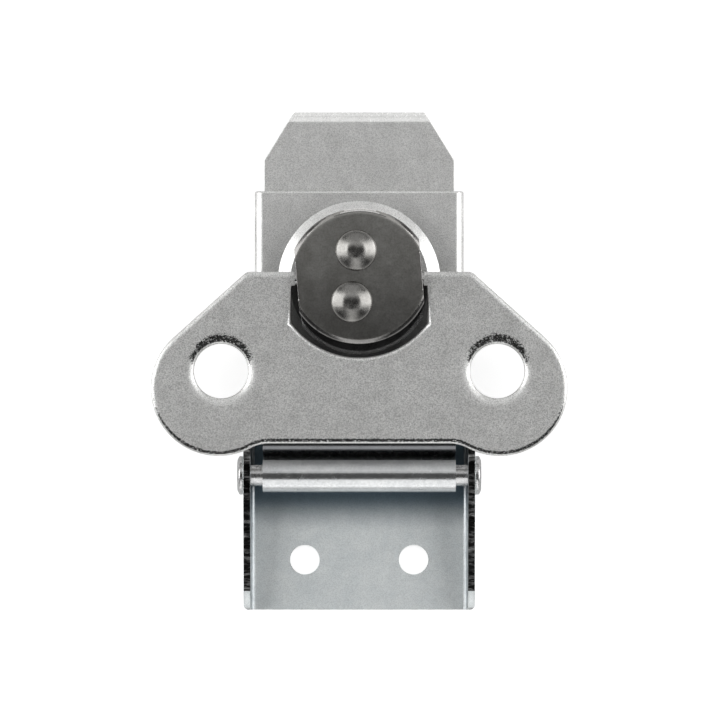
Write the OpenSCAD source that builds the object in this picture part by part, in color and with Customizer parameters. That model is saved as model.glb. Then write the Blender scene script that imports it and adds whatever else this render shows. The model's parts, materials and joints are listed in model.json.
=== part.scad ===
// Surface mount cam latch: a riveted base, a carrier plate hinged on a pin, a hook plate drawn along the
// carrier by a crank, and a wing handle that folds flat over the rotor.
// X runs across the latch, Y from the base towards the hook, and Z away from the mounting face.
// The origin lies on the mounting face, midway between the two fixing holes.

/* [Base] */
// Thickness of the base sheet
base_t = 1.2; // [0.8:0.1:1.6]
// Width over the two ears
base_w = 38.9; // [38:0.1:44]
// Distance from the fixing holes to the foot edge
base_foot = 8.4; // [6:0.1:14]
// Distance between the fixing holes
hole_pitch = 18.4; // [12:0.1:22]
// Diameter of the fixing holes
hole_d = 5; // [3:0.1:6]
// Inside radius of the base's folds
base_bend_r = 0.8; // [0.4:0.1:1.4]
// Height of the ears above the centre of the pin
ear_rise = 3.5; // [3:0.1:3.6]
// Reach of the ears past the centre of the pin
ear_reach = 5.2; // [3.4:0.1:6]
// Corner radius of the ears beside the pin
ear_r = 3.2; // [1:0.1:3.4]
// Height of the ears at the foot
ear_foot_h = 6.2; // [5:0.1:7.5]
// Corner radius of the ears at the foot
ear_foot_r = 4; // [1:0.1:4.6]
// Radius of the clipped corners at the foot
base_corner_r = 1.6; // [0.8:0.1:3]
// Depth by which the corner's round runs out past the edges it meets
base_corner_lead = 0.2; // [0.1:0.05:0.4]

/* [Pivot pin] */
// Distance from the fixing holes to the pin
pivot_y = 14.35; // [12:0.05:20]
// Height of the pin's centre over the mounting face
pin_lift = 5.2; // [4.6:0.1:5.6]
// Diameter of the pin
pin_d = 3.6; // [3:0.1:4]
// Diameter of the pin's heads
pin_head_d = 6.5; // [5:0.1:7]
// Thickness of the pin's heads
pin_head_t = 1; // [0.6:0.05:1.2]

/* [Carrier] */
// Thickness of the carrier sheet
carrier_t = 1; // [0.8:0.1:1.2]
// Width over the carrier's flanges
carrier_w = 35.1; // [34.4:0.1:36]
// Distance from the pin to the carrier's front edge
carrier_reach = 47.75; // [46.6:0.05:49]
// Depth of the flanges, from the carrier's face
flange_h = 3.55; // [2.8:0.05:3.6]
// Corner radius of the flanges
flange_r = 1.4; // [0.6:0.1:1.7]
// Inside radius of the carrier's folds
carrier_bend_r = 0.5; // [0.3:0.05:0.6]
// Width of the rolled knuckle
knuckle_w = 32.4; // [28:0.1:32.4]
// Angle where the roll of the knuckle ends, from the carrier's length
knuckle_end = 22; // [10:1:60]
// Slope of the step between the face and the knuckle
step_angle = 60; // [50:1:70]
// Inside radius of the folds of that step
step_r = 0.7; // [0.5:0.1:0.9]
// Diameter of the raised boss at its foot
boss_d = 27.3; // [26.6:0.1:28]
// Diameter of the flat on the boss
boss_top_d = 23.2; // [23:0.1:23.6]
// Height of the boss
boss_h = 1.6; // [1.5:0.05:1.8]
// Length of the guide tabs along the flanges
tab_len = 6; // [3:0.5:8]
// Reach of the guide tabs under the hook plate
tab_reach = 4.2; // [3:0.1:6]
// Distance from the carrier's front edge to the guide tabs
tab_inset = 2.4; // [1.8:0.1:5]

/* [Hook plate] */
// Thickness of the hook plate
hook_t = 1.2; // [0.8:0.1:1.4]
// Height of the hook plate over the mounting face
hook_lift = 4.2; // [4:0.1:4.6]
// Distance from the rotor to the outside of the hook
hook_reach = 28.7; // [26:0.1:32]
// Length of the slanted corners beside the hook, up to its outside
hook_corner = 8.15; // [5:0.05:9]
// Slant of those corners, from the hook plate's length
hook_slant = 31.6; // [20:0.1:36]
// Inside radius of the hook's fold
hook_bend_r = 0.73; // [0.4:0.01:1]
// Distance from the rotor to the tail of the hook plate
hook_tail = 17; // [12:0.5:20]

/* [Rotor] */
// Distance from the pin to the rotor's centre
rotor_reach = 32.45; // [31.8:0.05:33.2]
// Length of the cap between its round ends
cap_len = 22.6; // [22:0.1:23]
// Radius of the cap's round ends
cap_end_r = 12.1; // [11.7:0.1:13]
// Width of the cap across its flats
cap_flats = 20.9; // [20.4:0.1:21.2]
// Thickness of the cap
cap_t = 1.4; // [1:0.1:2]
// Radius of the roll over the cap's round ends
cap_roll_r = 1.5; // [1.4:0.1:3]
// Width of that roll, seen from above
cap_roll_w = 1.1; // [0.6:0.1:1.3]
// Offset of the cap from the rotor's centre, towards the hook
cap_shift = 0.95; // [0:0.05:1]
// Lean of the cap's flats, turned about its centre
cap_lean = 4.7; // [0:0.1:6]
// Inset of the rotor's body under the cap
body_inset = 0.7; // [0.5:0.05:1.2]
// Diameter of the collar at the foot of the rotor body
collar_d = 24.2; // [22:0.1:24.4]
// Inset of the collar's flats from the cap's flats
collar_inset = 0.3; // [0.2:0.05:0.9]
// Diameter of the hub that turns in the boss
hub_d = 16; // [14:0.1:16.2]
// Diameter of the crank plate under the boss
crank_plate_d = 21.2; // [19:0.1:21.6]
// Thickness of the crank plate
crank_plate_t = 1.2; // [0.8:0.05:1.3]
// Distance between the two rivets
rivet_pitch = 8.63; // [7.4:0.01:9]
// Lean of the line through the rivets, turned about the cap's centre
rivet_lean = -4.9; // [-8:0.1:0]
// Offset of that line from the cap's centre, across the latch
rivet_shift = -0.89; // [-1.2:0.01:0]
// Diameter of the rivets' heads
rivet_head_d = 7; // [5.5:0.1:7.2]
// Height of the rivets' heads
rivet_head_h = 1.4; // [1:0.1:2]
// Diameter of the plain rivet
rivet_d = 3.6; // [3:0.1:4.2]
// Diameter of the crank rivet
crank_d = 4; // [3.4:0.1:4.4]
// Diameter of the washer under the hook plate
washer_d = 8.8; // [8.4:0.1:9.6]
// Thickness of that washer
washer_t = 0.8; // [0.5:0.1:1]
// Height of the crank rivet's set end
rivet_tail_h = 0.5; // [0.3:0.05:0.6]

/* [Wing handle] */
// Thickness of the handle
handle_t = 2; // [1.6:0.1:2.2]
// Width over the two lobes
wing_span = 69.7; // [66:0.1:76]
// Radius of the lobes
lobe_r = 11.35; // [10.8:0.05:12]
// Distance from the rotor back to the centres of the lobes
lobe_back = 17.75; // [17:0.05:19]
// Distance from the rotor forward to the handle's front edge
front_edge = 1.7; // [1.5:0.05:2]
// Distance between the centres of the front corners
shoulder_w = 36.5; // [34:0.1:38]
// Radius of the front corners
shoulder_r = 1.5; // [0.8:0.1:3]
// Distance from the rotor back to the straight rear edge
rear_edge = 27; // [26:0.1:27.6]
// Radius where the rear edge runs into the lobes
rear_fillet = 6.4; // [2:0.1:7]
// Width of the slot round the rotor
slot_w = 22.8; // [22.6:0.1:23.6]
// Radius of the slot's round end
slot_end_r = 14.2; // [13.6:0.1:15]
// Offset of the slot's round end from the rotor, towards the hook
slot_end_shift = 1.57; // [1:0.05:1.8]
// Diameter of the two finger holes
finger_d = 9.1; // [7:0.1:11]
// Distance between the finger holes
finger_pitch = 46.2; // [44:0.1:48]
// Distance from the rotor back to the finger holes
finger_back = 14.9; // [14:0.1:18]
// Diameter of the trunnions that the handle folds on
trunnion_d = 2; // [1.6:0.1:2]
// Distance from the rotor forward to the trunnions
trunnion_fwd = 0.55; // [0.4:0.05:0.7]
// Length of the trunnions inside the slot
trunnion_len = 3.9; // [2.8:0.1:4.2]
// Step of the slot's sides at the trunnions
lug_step = 0.6; // [0.3:0.05:0.65]
// Length of the stepped sides
lug_w = 2.3; // [2.1:0.1:2.4]

/* [Fits] */
// Clearance round shafts that turn
turn_gap = 0.05; // [0.02:0.01:0.1]
// Clearance round shafts that are riveted in place
rivet_gap = 0.02; // [0.01:0.01:0.05]
// Clearance between faces that slide
slide_gap = 0.15; // [0.1:0.01:0.3]
// Clearance beside the hook plate, inside the carrier's flanges
hook_side_gap = 0.6; // [0.3:0.05:1.5]
// Clearance of the folded handle above the ears
handle_gap = 0.5; // [0.3:0.05:0.8]
// Clearance round the knuckle
knuckle_gap = 0.25; // [0.2:0.05:0.5]
// Turn of the rotor from locked to open
rotor_turn = 180; // [150:5:180]

/* [Hidden] */
$fn = 96;
eps = 0.01;
overrun = 20;

// Levels above the mounting face
bore_r = pin_d / 2 + turn_gap;
knuckle_r = bore_r + carrier_t;
pin_z = max(pin_lift, base_t + knuckle_gap + knuckle_r);
ear_top = pin_z + max(ear_rise, pin_head_d / 2, knuckle_r);
hook_top = hook_lift + hook_t;
face_z = hook_top + slide_gap + carrier_t;
boss_top = face_z + boss_h;
handle_z = ear_top + handle_gap;
trunnion_z = handle_z + handle_t / 2;
cap_z = trunnion_z + trunnion_d / 2 + slide_gap;
cap_top = cap_z + cap_t;
crank_plate_top = boss_top - carrier_t - turn_gap;
crank_plate_z = crank_plate_top - crank_plate_t;
washer_top = hook_lift - slide_gap;
washer_z = washer_top - washer_t;

// Places along the latch
rotor_y = pivot_y + rotor_reach;
carrier_y = pivot_y + carrier_reach;
hook_y = rotor_y + hook_reach;
lobe_x = wing_span / 2 - lobe_r;
hook_w = carrier_w - 2 * (carrier_t + hook_side_gap);

// Rivet places from the rotor's centre, and the crank's path as the rotor turns
function hundredth(size) = round(size * 100) / 100;
function turned(p, a) = [p.x * cos(a) - p.y * sin(a), p.x * sin(a) + p.y * cos(a)];
function rivet_at(side) = turned([0, side * rivet_pitch / 2], rivet_lean) + [rivet_shift, cap_shift];
plain_at = rivet_at(1);
crank_at = rivet_at(-1);
crank_throw = norm(crank_at);
stroke = turned(crank_at, rotor_turn).y - crank_at.y;
function crank_lead(a) = turned(crank_at, a).y - stroke * a / rotor_turn;
crank_leads = [for (a = [0:2:rotor_turn]) crank_lead(a)];

zinc = "#b9bcbc";
dark_zinc = "#6a6862";
steel = "#a3a19c";

// Outer tangent of two circles, given as [x, y, radius] in anticlockwise order; a sharp corner has radius 0
function tangent_angle(a, b) =
    atan2(b.y - a.y, b.x - a.x) - acos((a[2] - b[2]) / norm([b.x - a.x, b.y - a.y]));
function rim_point(c, angle) = [c.x + c[2] * cos(angle), c.y + c[2] * sin(angle)];

// Flat outline drawn round a ring of circles, in anticlockwise order, with true arcs at the corners
module round_outline(circles) {
    n = len(circles);
    points = [
        for (i = [0:n - 1])
            let (a = circles[i], b = circles[(i + 1) % n], angle = tangent_angle(a, b))
                each [rim_point(a, angle), rim_point(b, angle)]
    ];
    polygon(points);
    for (c = circles)
        if (c[2] > 0)
            translate([c.x, c.y]) circle(r = c[2]);
}

// Rectangle with round corners, centred on the origin
module round_box(w, h, r) {
    x = w / 2 - r;
    y = h / 2 - r;
    round_outline([[-x, -y, r], [x, -y, r], [x, y, r], [-x, y, r]]);
}

// Section through a fold of a sheet: a ring sector of less than half a turn
module fold(inner_r, t, from, to) {
    far = 3 * (inner_r + t);
    mid = (from + to) / 2;
    intersection() {
        difference() {
            circle(r = inner_r + t);
            circle(r = inner_r);
        }
        polygon([
            [0, 0],
            far * [cos(from), sin(from)],
            far * [cos(mid), sin(mid)],
            far * [cos(to), sin(to)]
        ]);
    }
}

// Section drawn in Y and Z, extruded across the latch
module across(w) {
    translate([-w / 2, 0, 0]) rotate([90, 0, 90]) linear_extrude(w) children();
}

// Section drawn in X and Z, extruded along the latch between two places
module along(from, to) {
    translate([0, to, 0]) rotate([90, 0, 0]) linear_extrude(to - from) children();
}

// Places its child on the rotor's axis
module at_rotor(z = 0) {
    translate([0, rotor_y, z]) children();
}

// Section of the base: a flat sheet with an ear folded up at each side
module base_section() {
    outer_r = base_bend_r + base_t;
    flat = base_w / 2 - outer_r;
    translate([-flat, 0]) square([2 * flat, base_t]);
    for (side = [0, 1])
        mirror([side, 0]) translate([flat, outer_r]) {
            fold(base_bend_r, base_t, -90, 0);
            translate([base_bend_r, 0]) square([base_t, ear_top]);
        }
}

// Outline of the ears from the side, round at the pin and at the foot
module ear_outline() {
    foot = -base_foot;
    end = pivot_y + ear_reach;
    round_outline([
        [foot, 0, 0],
        [end, 0, 0],
        [end - ear_r, ear_top - ear_r, ear_r],
        [pivot_y - ear_r, ear_top - ear_r, ear_r],
        [foot + ear_foot_r, ear_foot_h - ear_foot_r, ear_foot_r]
    ]);
}

// What is clipped off a corner at the foot of the base
module base_corner() {
    inset = base_corner_r - base_corner_lead;
    translate([base_w / 2 - inset, inset - base_foot, -overrun / 2]) linear_extrude(overrun) difference() {
        translate([0, -base_foot]) square(base_foot);
        circle(r = base_corner_r);
    }
}

module base_plate() {
    color(zinc) difference() {
        intersection() {
            along(-base_foot, pivot_y + ear_reach) base_section();
            across(base_w + overrun) ear_outline();
        }
        for (side = [-1, 1])
            translate([side * hole_pitch / 2, 0, -overrun / 2]) cylinder(d = hole_d, h = overrun);
        for (side = [0, 1])
            mirror([side, 0, 0]) base_corner();
        translate([0, pivot_y, pin_z]) rotate([0, 90, 0])
            cylinder(r = pin_d / 2 + rivet_gap, h = base_w + overrun, center = true);
    }
}

// Headed pin, set over at both ends against the ears
module pivot_pin() {
    half = base_w / 2 + rivet_gap;
    rim = pin_head_t / 3;
    color(steel) translate([0, pivot_y, pin_z]) rotate([0, 90, 0]) {
        cylinder(d = pin_d, h = 2 * half, center = true);
        for (side = [0, 1])
            mirror([0, 0, side]) translate([0, 0, half]) {
                cylinder(d = pin_head_d, h = pin_head_t - rim);
                translate([0, 0, pin_head_t - rim])
                    cylinder(d1 = pin_head_d, d2 = pin_head_d - 4 * rim, h = rim);
            }
    }
}

// Section of the carrier's channel: the face, its two folds and its flanges
module channel_section() {
    outer_r = carrier_bend_r + carrier_t;
    flat = carrier_w / 2 - outer_r;
    translate([-flat, face_z - carrier_t]) square([2 * flat, carrier_t]);
    for (side = [0, 1])
        mirror([side, 0]) translate([flat, face_z - outer_r]) {
            fold(carrier_bend_r, carrier_t, 0, 90);
            translate([carrier_bend_r, outer_r - flange_h])
                square([carrier_t, flange_h - outer_r]);
        }
}

// Section of a guide tab: the flange folded inwards under the hook plate
module tab_section() {
    outer_r = carrier_bend_r + carrier_t;
    tab_z = hook_lift - slide_gap - carrier_t;
    wall = carrier_w / 2 - outer_r;
    for (side = [0, 1])
        mirror([side, 0]) {
            translate([wall, tab_z + outer_r]) {
                fold(carrier_bend_r, carrier_t, -90, 0);
                translate([carrier_bend_r, 0]) square([carrier_t, hook_t]);
            }
            translate([carrier_w / 2 - tab_reach, tab_z]) square([tab_reach - outer_r, carrier_t]);
        }
}

// Where the step starts and ends, and the length of its slope
step_mid_r = step_r + carrier_t / 2;
step_rise = face_z - carrier_t - (pin_z - knuckle_r);
step_slope = (step_rise - 2 * step_mid_r * (1 - cos(step_angle))) / sin(step_angle);
step_run = 2 * step_mid_r * sin(step_angle) + step_slope * cos(step_angle);
step_low_y = pivot_y
    + (knuckle_r + knuckle_gap - step_r - (bore_r - step_r) * cos(step_angle)) / sin(step_angle);
step_high_y = step_low_y + step_run;
flange_y = step_high_y + flange_r / 2;

// Section of the tongue: face, step, and the knuckle rolled round the pin
module tongue_section() {
    low_centre = [step_low_y, pin_z - bore_r + step_r];
    high_centre = [step_high_y, face_z - carrier_t - step_r];
    slope_from = low_centre + step_r * [sin(step_angle), -cos(step_angle)];
    far = 3 * knuckle_r;
    translate([step_high_y, face_z - carrier_t]) square([flange_r, carrier_t]);
    translate(high_centre) fold(step_r, carrier_t, 90, 90 + step_angle);
    translate(slope_from) rotate(step_angle) polygon([
        [-step_r / 2, 0],
        [0, -carrier_t],
        [step_slope + step_r / 2, -carrier_t],
        [step_slope, 0]
    ]);
    translate(low_centre) fold(step_r, carrier_t, -90, -90 + step_angle);
    translate([pivot_y, pin_z - knuckle_r]) square([step_low_y - pivot_y, carrier_t]);
    translate([pivot_y, pin_z]) difference() {
        circle(r = knuckle_r);
        circle(r = bore_r);
        polygon([
            [0, 0],
            [0, -far],
            [far, -far],
            far * [1, tan(knuckle_end)]
        ]);
    }
}

// Raised boss, solid, with a conical wall
module boss_solid() {
    at_rotor(face_z - carrier_t) cylinder(d = boss_d, h = carrier_t);
    at_rotor(face_z) cylinder(d1 = boss_d, d2 = boss_top_d, h = boss_h);
}

// Hollow under the boss, which leaves its wall as thick as the sheet
module boss_hollow() {
    slant = atan2(boss_h, (boss_d - boss_top_d) / 2);
    inset = 2 * carrier_t * tan(slant / 2);
    at_rotor(face_z - carrier_t) cylinder(d1 = boss_d - inset, d2 = boss_top_d - inset, h = boss_h);
}

// Outline of the flanges from the side, with round lower corners
module flange_outline() {
    low = face_z - flange_h;
    round_outline([
        [flange_y + flange_r, low + flange_r, flange_r],
        [carrier_y - flange_r, low + flange_r, flange_r],
        [carrier_y, face_z, 0],
        [flange_y, face_z, 0]
    ]);
}

module carrier_plate() {
    tab_y = carrier_y - tab_inset;
    color(zinc) difference() {
        union() {
            intersection() {
                along(flange_y, carrier_y) channel_section();
                across(carrier_w + overrun) flange_outline();
            }
            across(knuckle_w) tongue_section();
            along(tab_y - tab_len, tab_y) tab_section();
            boss_solid();
        }
        boss_hollow();
        at_rotor() cylinder(r = hub_d / 2 + turn_gap, h = overrun);
    }
}

// Section of the hook plate: a flat tail, the fold and the lip that reaches down to the mounting face
module hook_section() {
    outer_r = hook_bend_r + hook_t;
    tail_y = rotor_y - hook_tail;
    fold_y = hook_y - outer_r;
    translate([tail_y, hook_lift]) square([fold_y - tail_y, hook_t]);
    translate([fold_y, hook_top - outer_r]) {
        fold(hook_bend_r, hook_t, 0, 90);
        translate([hook_bend_r, outer_r - hook_top]) square([hook_t, hook_top - outer_r]);
    }
}

// Outline of the hook plate from the front, with its slanted corners, run on past both ends
module hook_outline() {
    half = hook_w / 2;
    past = 1;
    low_y = rotor_y - hook_tail - past;
    tip = half - (hook_corner + past) * tan(hook_slant);
    polygon([
        [-half, low_y],
        [half, low_y],
        [half, hook_y - hook_corner],
        [tip, hook_y + past],
        [-tip, hook_y + past],
        [-half, hook_y - hook_corner]
    ]);
}

// Cross slot for the crank, long enough for its swing and wide enough for its path along the latch
module crank_slot() {
    r = crank_d / 2 + slide_gap;
    low = hundredth(min(crank_leads) - r);
    high = hundredth(max(crank_leads) + r);
    reach = hundredth(crank_throw + r);
    at_rotor(-overrun / 2) translate([0, (low + high) / 2, 0])
        linear_extrude(overrun) round_box(2 * reach, high - low, r);
}

module hook_plate() {
    color(zinc) difference() {
        intersection() {
            across(hook_w + overrun) hook_section();
            translate([0, 0, -overrun / 2]) linear_extrude(overrun) hook_outline();
        }
        crank_slot();
    }
}

// Hole for one of the rotor's rivets
module rivet_hole(at, d) {
    translate([at.x, at.y, -overrun]) cylinder(r = d / 2 + rivet_gap, h = 3 * overrun);
}

module rivet_holes() {
    rivet_hole(plain_at, rivet_d);
    rivet_hole(crank_at, crank_d);
}

// Outline of the cap, or of the body inset under it, from the rotor's centre
module cap_outline(inset) {
    translate([0, cap_shift]) rotate(cap_lean) intersection() {
        translate([0, cap_end_r - cap_len / 2]) circle(r = cap_end_r - inset);
        translate([0, cap_len / 2 - cap_end_r]) circle(r = cap_end_r - inset);
        translate([inset - cap_flats / 2, -cap_len]) square([cap_flats - 2 * inset, 2 * cap_len]);
    }
}

// Outline of the rotor body's collar: a disc with two flats that follow the cap's
module collar_outline() {
    wide = cap_flats - 2 * collar_inset;
    rotate(cap_lean) intersection() {
        circle(d = collar_d);
        translate([-wide / 2, -collar_d]) square([wide, 2 * collar_d]);
    }
}

// Turning body: the hub in the boss, the collar on it, and the seats of the handle's trunnions
module rotor_body() {
    seat_z = boss_top + turn_gap;
    seat_r = trunnion_d / 2 + turn_gap;
    seat_x = slot_w / 2 - trunnion_len - slide_gap;
    color(dark_zinc) at_rotor() difference() {
        union() {
            translate([0, 0, seat_z]) linear_extrude(cap_z - seat_z) cap_outline(body_inset);
            translate([0, 0, seat_z]) linear_extrude(handle_z - slide_gap - seat_z) collar_outline();
            translate([0, 0, crank_plate_top]) cylinder(d = hub_d, h = seat_z - crank_plate_top);
        }
        for (side = [0, 1])
            mirror([side, 0, 0]) translate([seat_x, trunnion_fwd, trunnion_z]) {
                rotate([0, 90, 0]) cylinder(r = seat_r, h = overrun);
                translate([0, -seat_r, 0]) cube([overrun, 2 * seat_r, overrun]);
            }
        rivet_holes();
    }
}

// Plate under the boss that keeps the rotor in and carries the crank
module crank_plate() {
    sink = crank_plate_t / 2;
    color(zinc) at_rotor() difference() {
        translate([0, 0, crank_plate_z]) cylinder(d = crank_plate_d, h = crank_plate_t);
        rivet_holes();
        translate([plain_at.x, plain_at.y, crank_plate_z])
            cylinder(r1 = rivet_d / 2 + rivet_gap + sink, r2 = rivet_d / 2 + rivet_gap, h = sink);
    }
}

// Half of the cap: a disc whose face rolls over at the rim, cut to the flats and just past the middle
module cap_half() {
    rim_r = cap_end_r - cap_roll_w;
    intersection() {
        translate([0, cap_len / 2 - cap_end_r, 0]) rotate_extrude() {
            square([rim_r, cap_t]);
            translate([rim_r, 0]) intersection() {
                translate([0, cap_t - cap_roll_r]) circle(r = cap_roll_r);
                square([cap_roll_w, 2 * cap_t]);
            }
        }
        translate([-cap_flats / 2, -cap_roll_w, -overrun / 2]) cube([cap_flats, cap_len, overrun]);
    }
}

// Cap with two flats and two round ends
module cap_plate() {
    color(dark_zinc) at_rotor(cap_z) difference() {
        translate([0, cap_shift, 0]) rotate(cap_lean)
            for (side = [0, 1])
                mirror([0, side, 0]) cap_half();
        rivet_holes();
    }
}

// Domed head of a rivet, resting on the cap
module rivet_head() {
    head_r = rivet_head_d / 2;
    dome_r = (head_r * head_r + rivet_head_h * rivet_head_h) / (2 * rivet_head_h);
    rotate_extrude() intersection() {
        translate([0, rivet_head_h - dome_r]) circle(r = dome_r);
        square([head_r + 1, rivet_head_h]);
    }
}

// Rivet whose end is set flush into the crank plate
module plain_rivet() {
    sink = crank_plate_t / 2;
    color(steel) at_rotor() translate([plain_at.x, plain_at.y, 0]) {
        translate([0, 0, cap_top]) rivet_head();
        translate([0, 0, crank_plate_z]) cylinder(d = rivet_d, h = cap_top - crank_plate_z);
        translate([0, 0, crank_plate_z])
            cylinder(r1 = rivet_d / 2 + sink, r2 = rivet_d / 2, h = sink);
    }
}

// Longer rivet that is also the crank, with its end set over the washer below the hook plate
module crank_rivet() {
    tail_z = washer_z - rivet_tail_h;
    color(steel) at_rotor() translate([crank_at.x, crank_at.y, 0]) {
        translate([0, 0, cap_top]) rivet_head();
        translate([0, 0, tail_z]) cylinder(d = crank_d, h = cap_top - tail_z);
        translate([0, 0, tail_z])
            cylinder(d1 = crank_d + rivet_tail_h, d2 = crank_d + 2 * rivet_tail_h, h = rivet_tail_h);
    }
}

// Washer that holds the hook plate up against the carrier
module crank_washer() {
    color(zinc) at_rotor(washer_z) translate([crank_at.x, crank_at.y, 0]) difference() {
        cylinder(d = washer_d, h = washer_t);
        translate([0, 0, -eps]) cylinder(r = crank_d / 2 + rivet_gap, h = washer_t + 2 * eps);
    }
}

// Flat outline of the wing handle, from the rotor's centre
module wing_outline() {
    shoulder_y = front_edge - shoulder_r;
    fillet_x = lobe_x - sqrt(pow(lobe_r + rear_fillet, 2) - pow(rear_edge - lobe_back + rear_fillet, 2));
    fillet_at = [fillet_x, -rear_edge - rear_fillet];
    toward = fillet_at - [lobe_x, -lobe_back];
    touch = [lobe_x, -lobe_back] + lobe_r * toward / norm(toward);
    intersection() {
        round_outline([
            [-lobe_x, -lobe_back, lobe_r],
            [lobe_x, -lobe_back, lobe_r],
            [shoulder_w / 2, shoulder_y, shoulder_r],
            [-shoulder_w / 2, shoulder_y, shoulder_r]
        ]);
        translate([-wing_span, -rear_edge]) square([2 * wing_span, 2 * rear_edge]);
    }
    for (side = [0, 1])
        mirror([side, 0]) {
            translate([lobe_x, -lobe_back]) circle(r = lobe_r);
            difference() {
                polygon([[fillet_x, -rear_edge], touch, [lobe_x, -lobe_back], [fillet_x, -lobe_back]]);
                translate(fillet_at) circle(r = rear_fillet);
            }
        }
}

// Slot round the rotor, open at the front edge and stepped in at the trunnions
module wing_slot() {
    lug_y = front_edge - lug_w;
    half = slot_w / 2;
    intersection() {
        translate([0, slot_end_shift]) circle(r = slot_end_r);
        translate([-half, lug_y - slot_end_r]) square([slot_w, slot_end_r]);
    }
    translate([lug_step - half, lug_y]) square([slot_w - 2 * lug_step, slot_end_r]);
}

module wing_handle() {
    color(zinc) at_rotor() {
        translate([0, 0, handle_z]) linear_extrude(handle_t) difference() {
            wing_outline();
            wing_slot();
            for (side = [-1, 1])
                translate([side * finger_pitch / 2, -finger_back]) circle(d = finger_d);
        }
        for (side = [0, 1])
            mirror([side, 0, 0]) translate([slot_w / 2 - trunnion_len, trunnion_fwd, trunnion_z])
                rotate([0, 90, 0]) cylinder(d = trunnion_d, h = trunnion_len);
    }
}

base_plate();
pivot_pin();
carrier_plate();
hook_plate();
rotor_body();
crank_plate();
cap_plate();
plain_rivet();
crank_rivet();
crank_washer();
wing_handle();
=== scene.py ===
"""Surface mount cam latch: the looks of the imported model, seen from straight above as it lies on its back."""

import json
import math

import bmesh
import bpy
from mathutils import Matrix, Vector

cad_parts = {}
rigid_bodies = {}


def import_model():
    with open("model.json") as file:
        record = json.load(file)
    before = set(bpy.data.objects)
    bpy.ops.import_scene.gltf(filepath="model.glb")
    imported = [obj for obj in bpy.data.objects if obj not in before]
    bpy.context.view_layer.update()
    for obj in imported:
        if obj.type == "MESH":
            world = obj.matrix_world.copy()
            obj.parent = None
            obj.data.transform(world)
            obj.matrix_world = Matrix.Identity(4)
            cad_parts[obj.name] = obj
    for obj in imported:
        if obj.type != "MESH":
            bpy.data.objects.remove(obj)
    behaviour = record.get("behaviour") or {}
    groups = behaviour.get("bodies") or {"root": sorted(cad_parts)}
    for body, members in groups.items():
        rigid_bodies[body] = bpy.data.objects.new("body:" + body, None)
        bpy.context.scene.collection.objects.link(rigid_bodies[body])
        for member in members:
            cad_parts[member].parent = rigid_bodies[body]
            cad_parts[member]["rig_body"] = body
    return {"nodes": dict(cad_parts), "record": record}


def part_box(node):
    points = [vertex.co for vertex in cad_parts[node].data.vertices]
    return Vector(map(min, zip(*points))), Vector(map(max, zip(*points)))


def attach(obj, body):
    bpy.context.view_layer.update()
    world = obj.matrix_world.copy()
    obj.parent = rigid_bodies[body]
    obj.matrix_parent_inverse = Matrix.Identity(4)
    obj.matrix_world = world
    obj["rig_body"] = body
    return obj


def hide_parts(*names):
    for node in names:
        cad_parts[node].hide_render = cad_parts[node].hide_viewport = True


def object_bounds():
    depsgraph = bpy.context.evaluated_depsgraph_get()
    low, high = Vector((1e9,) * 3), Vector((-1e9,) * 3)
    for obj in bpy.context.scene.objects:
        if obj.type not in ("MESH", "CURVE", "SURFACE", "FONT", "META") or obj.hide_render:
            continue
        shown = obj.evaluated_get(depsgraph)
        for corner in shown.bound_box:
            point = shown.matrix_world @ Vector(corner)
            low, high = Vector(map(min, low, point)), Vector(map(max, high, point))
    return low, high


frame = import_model()
cad_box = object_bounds()

MM = 0.001

# Photograph: a square frame, and the scale and centre that its pixels have on the object
MM_PER_PIXEL = 0.168
FRAME_PIXELS = 720
CENTRE_MM = (0.13, 33.75, 6.0)
CAMERA_HEIGHT_MM = 900.0
CAMERA_REACH_M = 10
SENSOR_MM = 36.0

# Mesh work: how close points count as one or as level, and how far faces turn at an edge
WELD_MM = 0.0005
FILL_LEVEL_MM = 0.001
EDGE_LEVEL_MM = 0.01
LEVEL_RISE = 0.99
FLAT_ANGLE = math.radians(0.4)
SHARP_ANGLE = math.radians(28.0)
SMOOTH_ANGLE = math.radians(34.0)
ROUND_PROFILE = 0.5
NORMAL_WEIGHT = 100

# Metal: noise as (detail, roughness), noise sizes as shares of the grain's size, and the part of a noise's
# range that is used
CLOUD_NOISE = (6.0, 0.65)
PIT_NOISE = (2.0, 0.6)
GLOSS_NOISE = (4.0, 0.6)
GRAIN_NOISE = (2.0, 0.6)
FLECK_NOISE = (4.0, 0.7)
PIT_SHARE = 0.8
GLOSS_SHARE = 1.7
NOISE_BAND = (0.3, 0.7)
PIT_BAND = (0.34, 0.60)
PIT_RISE_SHARE = 1 / 3
HAZE_ROUGHNESS = 0.68
FAR_SLOPE = (0.10, 0.30)

# Painted shade in dark flecks on slopes that face the base: how far a slope leans towards the base, how level
# it must be, the size of the flecks, how far they spread, their edge in the noise, and the share of the colour
# that they leave
SHADE_FLECK_TILT = (-0.010, -0.13)
SHADE_FLECK_RISE = (0.86, 0.93)
SHADE_FLECK_MM = 0.32
SHADE_FLECK_REACH = 0.34
SHADE_FLECK_BAND = (0.20, 0.31)
SHADE_FLECK_LEFT = 0.06

# Floor and surround
FLOOR_GREY = 0.55
FLOOR_GLOW = 0.72
MIRRORED_GLOW = 0.3
FLOOR_HALF_M = 4.0
FLOOR_DROP_MM = 0.02
HORIZON_RISE = (0.08, 0.32)
HORIZON_GLOW = 1.0
OVERHEAD_GLOW = 0.06


# Geometry

def edge_mid(edge):
    """Middle of an edge, in millimetres."""
    return (edge.verts[0].co + edge.verts[1].co) / (2 * MM)


def edge_run(edge, axis_index):
    """Length of an edge along one axis, in millimetres."""
    return abs(edge.verts[0].co[axis_index] - edge.verts[1].co[axis_index]) / MM


def rounding(width, chosen, segments=2, depth_share=1):
    """One step of rounding: its width in mm, a chooser of edges, and its depth as a share of the width."""
    return width, chosen, segments, depth_share


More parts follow.
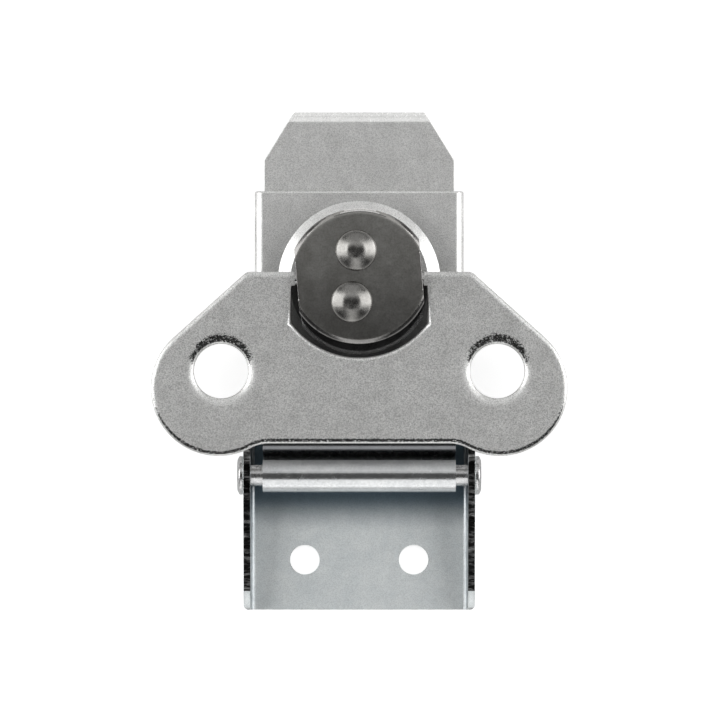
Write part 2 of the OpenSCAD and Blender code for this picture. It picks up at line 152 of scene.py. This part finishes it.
def round_off(shape, width, chosen, segments, depth_share):
    """Rounds the sharp edges that are chosen. A depth share under 1 makes the roll that a punch leaves."""
    shape.normal_update()
    edges = [e for e in shape.edges
             if e.is_manifold and e.is_convex and e.calc_face_angle() > SHARP_ANGLE and chosen(e)]
    face_z = max(v.co.z for e in edges for v in e.verts)
    made = bmesh.ops.bevel(shape, geom=edges, offset=width * MM, offset_type="OFFSET", segments=segments,
                           profile=ROUND_PROFILE, affect="EDGES", clamp_overlap=False, loop_slide=True)
    if depth_share < 1:
        for vert in made["verts"]:
            vert.co.z = face_z - (face_z - vert.co.z) * depth_share


def refill(shape, level):
    """Fills a flat upward face afresh from its outline, so that it has no slivers."""
    flat = [f for f in shape.faces if f.normal.z > LEVEL_RISE
            and all(abs(v.co.z / MM - level) < FILL_LEVEL_MM for v in f.verts)]
    rim = {e for f in flat for e in f.edges if sum(other in flat for other in e.link_faces) == 1}
    bmesh.ops.delete(shape, geom=flat, context="FACES")
    made = bmesh.ops.triangle_fill(shape, edges=[e for e in rim if e.is_valid], use_beauty=True,
                                   normal=(0, 0, 1))
    for face in made["geom"]:
        if isinstance(face, bmesh.types.BMFace) and face.normal.z < 0:
            face.normal_flip()


def dressed(node, roundings, flat_level=None):
    """A copy of a CAD node with rounded edges, which stands for the node.

    flat_level is the height in mm of a face that is filled afresh after the rounding."""
    source = frame["nodes"][node]
    shape = bmesh.new()
    shape.from_mesh(source.data)
    bmesh.ops.remove_doubles(shape, verts=shape.verts, dist=WELD_MM * MM)
    bmesh.ops.dissolve_limit(shape, angle_limit=FLAT_ANGLE, verts=shape.verts, edges=shape.edges)
    for step in roundings:
        round_off(shape, *step)
    shape.normal_update()
    if flat_level:
        refill(shape, flat_level)
        shape.normal_update()
    for face in shape.faces:
        face.smooth = True
        face.material_index = 0
    for edge in shape.edges:
        edge.smooth = not edge.is_manifold or edge.calc_face_angle() < SMOOTH_ANGLE
    mesh = bpy.data.meshes.new(node + "_look")
    shape.to_mesh(mesh)
    shape.free()
    piece = bpy.data.objects.new(node + "_look", mesh)
    bpy.context.scene.collection.objects.link(piece)
    weighted = piece.modifiers.new("normals", "WEIGHTED_NORMAL")
    weighted.keep_sharp = True
    weighted.weight = NORMAL_WEIGHT
    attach(piece, source["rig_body"])
    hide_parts(node)
    return piece


# Shader nodes

def node_of(tree, kind, **settings):
    """A new shader node with its properties and its inputs set by name."""
    made = tree.nodes.new(kind)
    for name, value in settings.items():
        if name in made.inputs:
            made.inputs[name].default_value = value
        else:
            setattr(made, name, value)
    return made


def noise(tree, place, scale_mm, kind):
    """Noise whose largest features are about scale_mm across."""
    detail, roughness = kind
    made = node_of(tree, "ShaderNodeTexNoise", Scale=1 / (scale_mm * MM), Detail=detail, Roughness=roughness)
    tree.links.new(place, made.inputs["Vector"])
    return made.outputs["Fac"]


def mapped(tree, value, source, target=(0.0, 1.0), **settings):
    """Maps a value from one range to another and holds it at the ends."""
    made = node_of(tree, "ShaderNodeMapRange", **settings)
    for name, limit in zip(("From Min", "From Max", "To Min", "To Max"), (*source, *target)):
        made.inputs[name].default_value = limit
    tree.links.new(value, made.inputs["Value"])
    return made.outputs["Result"]


def ramp(tree, value, low, high, band=(0.0, 1.0)):
    """Turns a value into a colour between low and high."""
    made = node_of(tree, "ShaderNodeValToRGB")
    for stop, position, colour in zip(made.color_ramp.elements, band, (low, high)):
        stop.position = position
        stop.color = (*colour, 1)
    tree.links.new(value, made.inputs["Fac"])
    return made.outputs["Color"]


def axis(tree, vector, name):
    """One coordinate of a vector."""
    made = node_of(tree, "ShaderNodeSeparateXYZ")
    tree.links.new(vector, made.inputs[0])
    return made.outputs[name]


def worked_out(tree, operation, *values, kind="ShaderNodeMath"):
    """Result of a sum or product. A plain number is set on its socket."""
    made = node_of(tree, kind, operation=operation)
    for socket, value in zip(made.inputs, values):
        if isinstance(value, bpy.types.NodeSocket):
            tree.links.new(value, socket)
        else:
            socket.default_value = value
    return made.outputs[0]


def dimmed(tree, colour, share):
    """A colour times a number."""
    made = node_of(tree, "ShaderNodeVectorMath", operation="SCALE")
    tree.links.new(colour, made.inputs[0])
    tree.links.new(share, made.inputs["Scale"])
    return made.outputs[0]


# Materials

def grey(value):
    """Neutral colour."""
    return value, value, value


def shaded_along(tree, position, colour, unshaded_y, shaded_y, shade_tint):
    """Paints shade along the latch onto a colour, from none at unshaded_y to the whole shade_tint at shaded_y,
    both in mm.
    """
    fade = mapped(tree, axis(tree, position, "Y"), (unshaded_y * MM, shaded_y * MM),
                  interpolation_type="SMOOTHSTEP")
    shade_ramp = ramp(tree, fade, grey(1), shade_tint)
    return worked_out(tree, "MULTIPLY", colour, shade_ramp, kind="ShaderNodeVectorMath")


def shade_flecked(tree, normal, place, colour):
    """Painted shade as dark flecks on the gentle slopes that face the base, thicker where they are steeper."""
    tilt = mapped(tree, axis(tree, normal, "Y"), SHADE_FLECK_TILT)
    rise = mapped(tree, axis(tree, normal, "Z"), SHADE_FLECK_RISE)
    amount = worked_out(tree, "MULTIPLY", tilt, rise)
    fleck = noise(tree, place, SHADE_FLECK_MM, FLECK_NOISE)
    sunk = worked_out(tree, "MULTIPLY_ADD", amount, -SHADE_FLECK_REACH, fleck)
    return dimmed(tree, colour, mapped(tree, sunk, SHADE_FLECK_BAND, (SHADE_FLECK_LEFT, 1.0)))


def metal(name, dark, light, rough, grain_mm, grain_depth_mm, speck, haze=0.0, haze_far=None, cloud_mm=3.0,
          cloud_band=NOISE_BAND, stretch=(1, 1, 1), painted_shade=None, shade_flecks=False, spun=0.0):
    """Bare or plated metal: cloudy tint, uneven gloss and a fine tumbled grain.

    speck darkens the pits of the grain. haze is the share of light that the surface scatters widely, and
    haze_far that share on slopes that face the hook. stretch draws the pattern out along an axis where it is
    under 1. painted_shade holds what shaded_along takes, for painted shade along the latch, and shade_flecks
    adds painted shade as dark flecks. spun is the strength of fine rings round the middle of the piece."""
    material = bpy.data.materials.new(name)
    material.use_nodes = True
    tree = material.node_tree
    link = tree.links.new
    coords = node_of(tree, "ShaderNodeTexCoord")
    position, normal = coords.outputs["Object"], coords.outputs["Normal"]
    stretched = node_of(tree, "ShaderNodeMapping", Scale=stretch)
    link(position, stretched.inputs["Vector"])
    place = stretched.outputs["Vector"]

    tint = ramp(tree, noise(tree, place, cloud_mm, CLOUD_NOISE), dark, light, cloud_band)
    pits = noise(tree, place, grain_mm * PIT_SHARE, PIT_NOISE)
    colour = dimmed(tree, tint, mapped(tree, pits, PIT_BAND, (1 - speck, 1 + speck * PIT_RISE_SHARE)))
    # Painted shade along the latch
    if painted_shade:
        colour = shaded_along(tree, position, colour, **painted_shade)
    # Painted shade: dark flecks on the slopes that face the base
    if shade_flecks:
        colour = shade_flecked(tree, normal, place, colour)

    bump = node_of(tree, "ShaderNodeBump", Strength=1.0, Distance=grain_depth_mm * MM)
    link(noise(tree, place, grain_mm, GRAIN_NOISE), bump.inputs["Height"])

    close = tree.nodes["Principled BSDF"]
    close.inputs["Metallic"].default_value = 1.0
    link(mapped(tree, noise(tree, place, grain_mm * GLOSS_SHARE, GLOSS_NOISE), NOISE_BAND, rough),
         close.inputs["Roughness"])
    wide = node_of(tree, "ShaderNodeBsdfPrincipled", Metallic=1.0, Roughness=HAZE_ROUGHNESS)
    both = node_of(tree, "ShaderNodeMixShader", Fac=haze)
    for lobe, socket in ((close, both.inputs[1]), (wide, both.inputs[2])):
        link(colour, lobe.inputs["Base Color"])
        link(bump.outputs["Normal"], lobe.inputs["Normal"])
        link(lobe.outputs[0], socket)
    link(both.outputs[0], tree.nodes["Material Output"].inputs["Surface"])

    if haze_far:
        link(mapped(tree, axis(tree, normal, "Y"), FAR_SLOPE, (haze, haze_far)), both.inputs["Fac"])
    if spun:
        close.inputs["Anisotropic"].default_value = spun
        rings = node_of(tree, "ShaderNodeTangent", direction_type="RADIAL", axis="Z")
        link(rings.outputs[0], close.inputs["Tangent"])
    return material


# Finishes of the handle, carrier and hook
SHEET = dict(dark=(0.75, 0.75, 0.74), light=(0.86, 0.86, 0.85), rough=(0.28, 0.40),
             grain_mm=0.22, grain_depth_mm=0.014, speck=0.25, haze=0.5)
# The handle's zinc, with painted shade as dark flecks on its rolled edges that face the base
ZINC = metal("zinc_tumbled", dark=(0.69, 0.69, 0.68), light=(0.81, 0.81, 0.80), rough=(0.28, 0.40),
             grain_mm=0.22, grain_depth_mm=0.026, speck=0.36, haze=0.5, shade_flecks=True)
SHEET_ZINC = metal("zinc_sheet", **SHEET)
# Painted shade on the carrier's end towards the knuckle, under the handle
CARRIER_ZINC = metal("zinc_carrier", **SHEET, painted_shade=dict(unshaded_y=22.5, shaded_y=19.5, shade_tint=(0.30, 0.30, 0.31)))
# Painted shade on the boss where the handle covers it
BOSS_SHADE = metal("boss_painted_shade", **SHEET, painted_shade=dict(unshaded_y=48.8, shaded_y=47.0, shade_tint=grey(0.14)))
# The knuckle's zinc, with painted shade on the step above it under the handle
SMOOTH_ZINC = metal("zinc_smooth", dark=(0.58, 0.59, 0.60), light=(0.68, 0.69, 0.69), rough=(0.20, 0.28),
                    grain_mm=0.5, grain_depth_mm=0.006, speck=0.08, haze_far=0.85,
                    painted_shade=dict(unshaded_y=17.0, shaded_y=17.8, shade_tint=(0.30, 0.30, 0.31)))
# Painted highlight: a brighter copy of the sheet on the hook's bend
HOOK_BEND_HIGHLIGHT = metal("zinc_bend_painted_highlight", dark=(0.90, 0.90, 0.89), light=(0.97, 0.97, 0.96), rough=(0.20, 0.30),
                 grain_mm=0.3, grain_depth_mm=0.006, speck=0.1, haze=0.6)

# Finishes of the base and its pin
PLAIN_BASE = dict(dark=(0.78, 0.82, 0.83), light=(0.88, 0.91, 0.91), rough=(0.34, 0.44),
                  grain_mm=0.24, grain_depth_mm=0.008, speck=0.12, haze=0.6)
BASE_ZINC = metal("zinc_base", **PLAIN_BASE)
# Painted shade with a bluish tint on the base's floor, darkest next to the knuckle
BASE_FLOOR = metal("zinc_base_floor", **PLAIN_BASE,
                   painted_shade=dict(unshaded_y=4.4, shaded_y=11.2, shade_tint=(0.16, 0.21, 0.25)))
# Painted shade: a dark copy of the base on the ears' inner sides and the bends at their feet
BASE_BEND_SHADE = metal("zinc_base_bend_painted_shade", dark=(0.26, 0.28, 0.29), light=(0.40, 0.42, 0.43), rough=(0.30, 0.40),
                  grain_mm=0.24, grain_depth_mm=0.008, speck=0.12)
SHEARED = metal("sheared_edge", dark=grey(0.02), light=grey(0.42), rough=(0.20, 0.40),
                grain_mm=0.5, grain_depth_mm=0.05, speck=0.3,
                cloud_mm=0.8, cloud_band=(0.48, 0.68), stretch=(0.25, 1, 0.25))
CUT_EDGE = metal("cut_edge", dark=(0.42, 0.44, 0.44), light=(0.85, 0.87, 0.87), rough=(0.25, 0.40),
                 grain_mm=0.3, grain_depth_mm=0.02, speck=0.3, haze=0.85,
                 cloud_mm=0.9, cloud_band=(0.40, 0.62))
PIN = metal("bright_pin", dark=grey(0.55), light=grey(0.66), rough=(0.22, 0.32),
            grain_mm=0.4, grain_depth_mm=0.006, speck=0.1)

# Finishes of the rotor
CAP_EDGE = dict(rough=(0.16, 0.24), grain_mm=0.5, grain_depth_mm=0.006, speck=0.1)
# The cap's dark metal, with painted shade that darkens it towards the base
DARK = metal("dark_cap", dark=(0.25, 0.245, 0.23), light=(0.36, 0.355, 0.34), rough=(0.28, 0.38),
             grain_mm=0.4, grain_depth_mm=0.006, speck=0.12, haze=0.3,
             painted_shade=dict(unshaded_y=54.0, shaded_y=36.0, shade_tint=grey(0.45)))
# The cap's roll: a painted highlight on top, fainter beside it, and painted shade on the rest
CAP_RIM_SIDE_HIGHLIGHT = metal("cap_edge_faint_painted_highlight", dark=(0.40, 0.39, 0.37), light=(0.52, 0.51, 0.49), **CAP_EDGE)
CAP_RIM_HIGHLIGHT = metal("cap_edge_painted_highlight", dark=(0.75, 0.74, 0.72), light=(0.92, 0.91, 0.89), **CAP_EDGE)
CAP_ROLL_SHADE = metal("cap_edge_painted_shade", dark=(0.18, 0.175, 0.17), light=(0.26, 0.255, 0.25), **CAP_EDGE)
# The rotor body: dark metal like the cap, made near-black as painted shade under the cap
BODY_SHADE = metal("body_painted_shade", dark=grey(0.03), light=grey(0.06), rough=(0.25, 0.40),
               grain_mm=0.4, grain_depth_mm=0.006, speck=0.2, haze=0.3)
COLLAR = metal("collar_edge", dark=grey(0.16), light=grey(0.26), rough=(0.20, 0.30),
               grain_mm=0.5, grain_depth_mm=0.006, speck=0.1, haze=0.2)
RIVET = metal("burnished_rivet", dark=(0.20, 0.195, 0.185), light=(0.28, 0.275, 0.265), rough=(0.20, 0.30),
              grain_mm=0.6, grain_depth_mm=0.006, speck=0.1, spun=0.8)


def finish_faces(piece, material, chosen):
    """Gives the faces that are chosen one more material."""
    piece.data.materials.append(material)
    for face in piece.data.polygons:
        if chosen(face):
            face.material_index = len(piece.data.materials) - 1


# Places on the pieces, in millimetres
handle_low, handle_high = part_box("wing_handle")
handle_top, handle_bottom = handle_high.z / MM, handle_low.z / MM
base_low, base_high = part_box("base_plate")
base_end, base_side = base_low.y / MM, base_high.x / MM
carrier_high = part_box("carrier_plate")[1]
carrier_end, boss_top = carrier_high.y / MM, carrier_high.z / MM
cap_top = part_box("cap_plate")[1].z / MM
grip_holes = [(Vector(o["box_m"][0]) + Vector(o["box_m"][1])) / (2 * MM)
              for o in frame["record"]["physics"]["openings"] if o["name"].startswith("grip_hole")]

ROTOR_Y = 46.8
GRIP_HOLE_R = 5.5
SLOT_HALF_W = 12.0
SLOT_LOW_Y = 33.5
SLOT_HIGH_Y = 46.0
COLLAR_FACE_R = 11.5
COLLAR_GAP = 0.15
BOSS_SIDE_H = 1.5
HOOK_BEND_Y = 72.0
EAR_T = 1.4
SHEARED_END_Y = -3.8
BASE_FLOOR_Z = 2.0
BASE_EDGE_Z = 0.9
BASE_FRONT_LENGTH = 20.0
BASE_FRONT_DEPTH = 0.5
KNUCKLE_END_Y = 20.5
KNUCKLE_HALF_W = 16.2
STEP_END_Y = 21.2
END_SLACK = 0.3
LEVEL_RUN = 0.1
rotor_axis = Vector((0.0, ROTOR_Y))
collar_top = handle_bottom - COLLAR_GAP
boss_foot = boss_top - BOSS_SIDE_H

# Slopes: parts of a face's normal along x, y or z that tell the faces of a piece apart
EDGE_TURN = 0.3
FLOOR_RISE = 0.9
BEND_TURN = 0.25
ROLL_RISE = 0.2
CAP_RIM_RISE = 0.93
CAP_RIM_LEAN = 0.25
CAP_RIM_TURN = 0.14
CAP_SIDE_RISE = 0.95
CAP_SIDE_LEAN = 0.2
CAP_SIDE_TURN = 0.28
CAP_ROLL_RISE = 0.97
COLLAR_ROLL_RISE = 0.995
BOSS_RISE = 0.1
HOOK_LEAN = 0.12
FRONT_LEAN = -0.25


# Choosers of edges

def any_edge(edge):
    """Every edge."""
    return True


def at_level(edge, z):
    """True for an edge that lies at a height."""
    return all(abs(v.co.z / MM - z) < EDGE_LEVEL_MM for v in edge.verts)


def at_grip_hole(edge):
    """Rims of the grip holes in the handle's face."""
    mid = edge_mid(edge)
    return at_level(edge, handle_top) and any((mid - h).xy.length < GRIP_HOLE_R for h in grip_holes)


def at_slot(edge):
    """Rim of the handle's slot in its face."""
    mid = edge_mid(edge)
    return at_level(edge, handle_top) and abs(mid.x) < SLOT_HALF_W and SLOT_LOW_Y < mid.y < SLOT_HIGH_Y


def at_trunnion(edge):
    """The handle's edges beside its trunnions, which stay sharp."""
    mid = edge_mid(edge)
    return abs(mid.x) < SLOT_HALF_W and mid.y >= SLOT_HIGH_Y


def at_handle_rim(edge):
    """Outer rim of the handle's face."""
    return at_level(edge, handle_top) and not (at_slot(edge) or at_grip_hole(edge) or at_trunnion(edge))


def at_handle_back(edge):
    """Edges of the handle's rear face."""
    return at_level(edge, handle_bottom)


def at_cap_face(edge):
    """Edges at the height of the cap's face."""
    return at_level(edge, cap_top)


def at_collar_rim(edge):
    """Round rim of the collar's face."""
    return at_level(edge, collar_top) and (edge_mid(edge).xy - rotor_axis).length > COLLAR_FACE_R


def at_carrier_front(edge):
    """Outline of the carrier's end where the hook comes out."""
    return edge_mid(edge).y > carrier_end - END_SLACK and edge_run(edge, 1) < LEVEL_RUN


def off_knuckle_end(edge):
    """Edges other than the outlines of the knuckle's and the step's ends."""
    mid = edge_mid(edge)
    return mid.y > STEP_END_Y or abs(abs(mid.x) - KNUCKLE_HALF_W) > EDGE_LEVEL_MM


def at_base_front(edge):
    """Upper edge of the base across its free end."""
    mid = edge_mid(edge)
    return mid.y < base_end + END_SLACK and mid.z > BASE_EDGE_Z and edge_run(edge, 0) > BASE_FRONT_LENGTH


# Choosers of faces

def on_ear_edge(face):
    """Sheared upper edges of the base's ears."""
    mid = face.center / MM
    upward = abs(face.normal.x) < EDGE_TURN and face.normal.z > EDGE_TURN
    return upward and base_side - abs(mid.x) < EAR_T and mid.y > SHEARED_END_Y


def on_base_floor(face):
    """Upper face of the base between its ears."""
    return face.normal.z > FLOOR_RISE and face.center.z / MM < BASE_FLOOR_Z


def on_base_bend(face):
    """Inner sides of the base's ears and the bends at their feet, which get painted shade."""
    return face.normal.x * face.center.x < 0 and abs(face.normal.x) > BEND_TURN


def on_base_front(face):
    """The base's end and its rounded upper edge."""
    return face.normal.y < FRONT_LEAN and face.center.y / MM < base_end + BASE_FRONT_DEPTH


def at_knuckle(face):
    """The carrier's rolled end and the step down to it."""
    return face.center.y / MM < KNUCKLE_END_Y


def on_boss(face):
    """Face and side of the carrier's boss, with painted shade where the handle covers it."""
    return face.normal.z > BOSS_RISE and face.center.z / MM > boss_foot and not at_knuckle(face)


def on_hook_bend(face):
    """Bend at the hook's tip, which gets a painted highlight."""
    return face.normal.y > HOOK_LEAN and face.center.y / MM > HOOK_BEND_Y


def on_cap_rim(face):
    """Outer part of the cap's roll on the hook's side, which gets a painted highlight."""
    turn, lean, rise = face.normal
    return ROLL_RISE < rise < CAP_RIM_RISE and lean > CAP_RIM_LEAN and abs(turn) < CAP_RIM_TURN


def on_cap_rim_side(face):
    """The roll beside that, which gets a fainter painted highlight."""
    turn, lean, rise = face.normal
    beside = CAP_RIM_TURN <= abs(turn) < CAP_SIDE_TURN
    return ROLL_RISE < rise < CAP_SIDE_RISE and lean > CAP_SIDE_LEAN and beside


def on_cap_roll(face):
    """The rest of the cap's roll, which gets painted shade."""
    return ROLL_RISE < face.normal.z < CAP_ROLL_RISE and not (on_cap_rim(face) or on_cap_rim_side(face))


def on_collar_rim(face):
    """Roll round the collar's face."""
    return ROLL_RISE < face.normal.z < COLLAR_ROLL_RISE and face.center.z / MM < collar_top


# Pieces

handle = dressed("wing_handle", [
    rounding(2.3, at_grip_hole, segments=8, depth_share=0.28),
    rounding(0.7, at_slot, segments=5, depth_share=0.6),
    rounding(1.0, at_handle_rim, segments=6, depth_share=0.45),
    rounding(0.15, at_handle_back)], handle_top)
base = dressed("base_plate", [
    rounding(0.3, at_base_front, segments=5),
    rounding(0.05, any_edge)])
carrier = dressed("carrier_plate", [
    rounding(0.35, at_carrier_front, segments=5),
    rounding(0.05, off_knuckle_end)])
hook = dressed("hook_plate", [rounding(0.14, any_edge)])
cap = dressed("cap_plate", [rounding(0.15, at_cap_face)], cap_top)
body = dressed("rotor_body", [
    rounding(0.85, at_collar_rim, segments=5, depth_share=0.4),
    rounding(0.08, any_edge)], collar_top)
crank = dressed("crank_plate", [rounding(0.1, any_edge)])
washer = dressed("crank_washer", [rounding(0.1, any_edge)])
upper_rivet = dressed("plain_rivet", [rounding(0.08, any_edge)])
lower_rivet = dressed("crank_rivet", [rounding(0.08, any_edge)])
pin = dressed("pivot_pin", [rounding(0.12, any_edge)])

for piece, material in ((handle, ZINC), (base, BASE_ZINC), (carrier, CARRIER_ZINC), (hook, SHEET_ZINC),
                        (cap, DARK), (body, BODY_SHADE), (crank, SHEET_ZINC), (washer, SHEET_ZINC),
                        (upper_rivet, RIVET), (lower_rivet, RIVET), (pin, PIN)):
    piece.data.materials.clear()
    piece.data.materials.append(material)
finish_faces(base, BASE_FLOOR, on_base_floor)
finish_faces(base, BASE_BEND_SHADE, on_base_bend)
finish_faces(base, SHEARED, on_ear_edge)
finish_faces(base, CUT_EDGE, on_base_front)
finish_faces(carrier, SMOOTH_ZINC, at_knuckle)
finish_faces(carrier, BOSS_SHADE, on_boss)
finish_faces(hook, HOOK_BEND_HIGHLIGHT, on_hook_bend)
finish_faces(cap, CAP_RIM_SIDE_HIGHLIGHT, on_cap_rim_side)
finish_faces(cap, CAP_RIM_HIGHLIGHT, on_cap_rim)
finish_faces(cap, CAP_ROLL_SHADE, on_cap_roll)
finish_faces(body, COLLAR, on_collar_rim)


# Floor, light and camera

centre = Vector(CENTRE_MM) * MM


def floor():
    """Pale floor that the camera sees as white except where the latch shades it, and the metal less so."""
    material = bpy.data.materials.new("floor")
    material.use_nodes = True
    tree = material.node_tree
    tree.nodes.clear()
    link = tree.links.new
    paint = node_of(tree, "ShaderNodeBsdfDiffuse", Color=(*grey(FLOOR_GREY), 1))
    glow = node_of(tree, "ShaderNodeEmission", Color=(*grey(1), 1), Strength=FLOOR_GLOW)
    both = node_of(tree, "ShaderNodeAddShader")
    link(paint.outputs[0], both.inputs[0])
    link(glow.outputs[0], both.inputs[1])
    path = node_of(tree, "ShaderNodeLightPath").outputs
    mirrored = worked_out(tree, "MULTIPLY", path["Is Glossy Ray"], MIRRORED_GLOW)
    seen = worked_out(tree, "MAXIMUM", path["Is Camera Ray"], mirrored)
    seen_through = worked_out(tree, "MAXIMUM", seen, path["Is Transmission Ray"])
    mix = node_of(tree, "ShaderNodeMixShader")
    link(seen_through, mix.inputs["Fac"])
    link(paint.outputs[0], mix.inputs[1])
    link(both.outputs[0], mix.inputs[2])
    link(mix.outputs[0], node_of(tree, "ShaderNodeOutputMaterial").inputs["Surface"])
    mesh = bpy.data.meshes.new("floor")
    half = FLOOR_HALF_M
    corners = [(-half, -half, 0), (half, -half, 0), (half, half, 0), (-half, half, 0)]
    mesh.from_pydata(corners, [], [(0, 1, 2, 3)])
    mesh.materials.append(material)
    made = bpy.data.objects.new("floor", mesh)
    bpy.context.scene.collection.objects.link(made)
    made.location.z = cad_box[0].z - FLOOR_DROP_MM * MM


def world():
    """Surround that is white round the horizon and dim from there up."""
    made = bpy.data.worlds.new("world")
    bpy.context.scene.world = made
    made.use_nodes = True
    tree = made.node_tree
    tree.nodes.clear()
    direction = node_of(tree, "ShaderNodeTexCoord").outputs["Generated"]
    fade = mapped(tree, axis(tree, direction, "Z"), HORIZON_RISE, (HORIZON_GLOW, OVERHEAD_GLOW))
    sky = node_of(tree, "ShaderNodeBackground", Color=(*grey(1), 1))
    tree.links.new(fade, sky.inputs["Strength"])
    tree.links.new(sky.outputs[0], node_of(tree, "ShaderNodeOutputWorld").inputs["Surface"])


def softbox(name, offset, size, radiance):
    """Rectangular soft light aimed at the centre, as bright as radiance when seen in a mirror. In metres."""
    data = bpy.data.lights.new(name, "AREA")
    data.shape = "RECTANGLE"
    data.size, data.size_y = size
    data.energy = radiance * math.pi * size[0] * size[1]
    made = bpy.data.objects.new(name, data)
    bpy.context.scene.collection.objects.link(made)
    made.location = centre + Vector(offset)
    made.rotation_euler = (-Vector(offset)).to_track_quat("-Z", "Y").to_euler()
    made.visible_camera = False


def camera():
    """Camera straight above the latch, at the photograph's scale."""
    data = bpy.data.cameras.new("camera")
    data.sensor_width = SENSOR_MM
    data.lens = SENSOR_MM * CAMERA_HEIGHT_MM / (MM_PER_PIXEL * FRAME_PIXELS)
    data.clip_end = CAMERA_REACH_M
    made = bpy.data.objects.new("camera", data)
    bpy.context.scene.collection.objects.link(made)
    made.location = centre + Vector((0, 0, CAMERA_HEIGHT_MM * MM))
    bpy.context.scene.camera = made


floor()
world()
softbox("beyond", offset=(0, 0.95, 0.95), size=(1.6, 1.3), radiance=0.62)
softbox("left", offset=(-0.85, 0.15, 0.53), size=(0.85, 0.93), radiance=3.2)
softbox("right", offset=(0.85, 0.15, 0.53), size=(0.85, 0.93), radiance=3.2)
softbox("near", offset=(0, -0.92, 0.65), size=(0.6, 1.15), radiance=1.3)
camera()
bpy.context.scene.view_settings.view_transform = "Standard"
